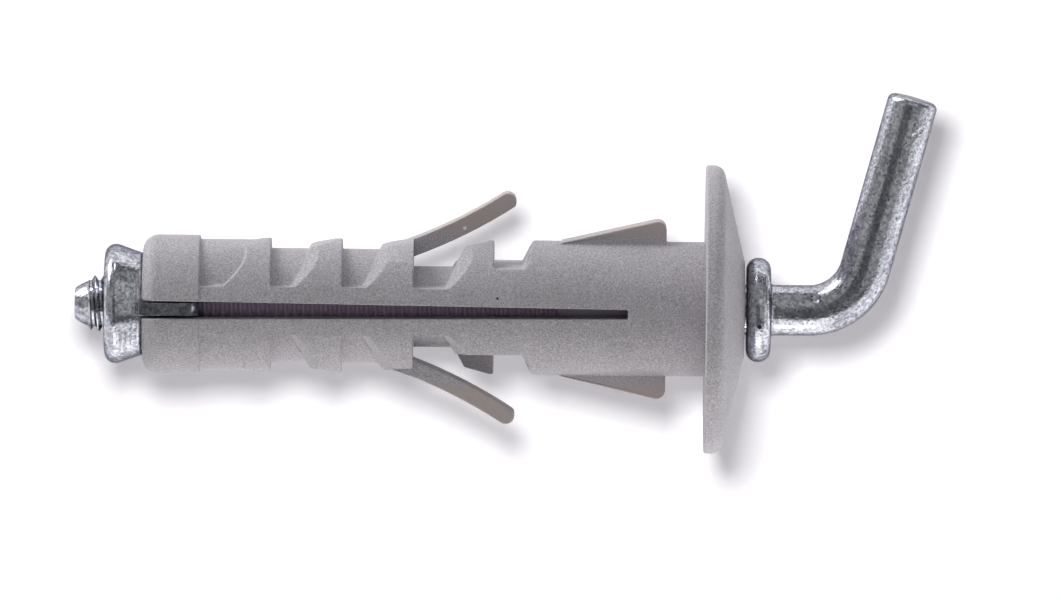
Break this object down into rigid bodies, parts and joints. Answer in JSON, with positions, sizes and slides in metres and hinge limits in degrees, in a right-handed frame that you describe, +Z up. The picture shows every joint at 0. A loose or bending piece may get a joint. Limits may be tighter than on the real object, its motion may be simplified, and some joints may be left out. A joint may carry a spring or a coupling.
{
  "type": "hook wall plug",
  "caption": "Toothed expansion plug with two springy tongues, a conical cover disc, a cone nut and a bent screw hook.",
  "frame": {"origin": "on the plug's axis, in the wall's surface, where the cover disc's back face lies", "axes": "+X out of the wall along the plug's axis, +Z up on the side of the hook's arm"},
  "size_m": [0.0766, 0.0256, 0.0323],
  "materials": {
    "sleeve_nylon": "finely grained grey nylon",
    "rosette_nylon": "finely grained grey nylon, a little warmer",
    "zinc_wire": "bright zinc plate over drawn wire",
    "zinc_nut": "bright zinc plate over turned steel"
  },
  "bodies": {
    "anchor": {"plug_sleeve": "sleeve_nylon", "rosette": "rosette_nylon"},
    "hook": {"hook_screw": "zinc_wire"},
    "nut": {"cone_nut": "zinc_nut"}
  },
  "joints": [
    {"name": "hook_turn", "type": "hinge", "parent": "anchor", "child": "hook", "pos_m": [0, 0, 0], "axis": [-1, 0, 0], "range_deg": [-1080, 2520]},
    {"name": "nut_draw", "type": "slide", "parent": "anchor", "child": "nut", "axis": [1, 0, 0], "range_m": [-0.0024, 0.0056], "deforming": ["plug_sleeve"]}
  ],
  "couplings": [
    {"joint": "nut_draw", "follows": "hook_turn", "m_per_rad": 0.00012732}
  ]
}
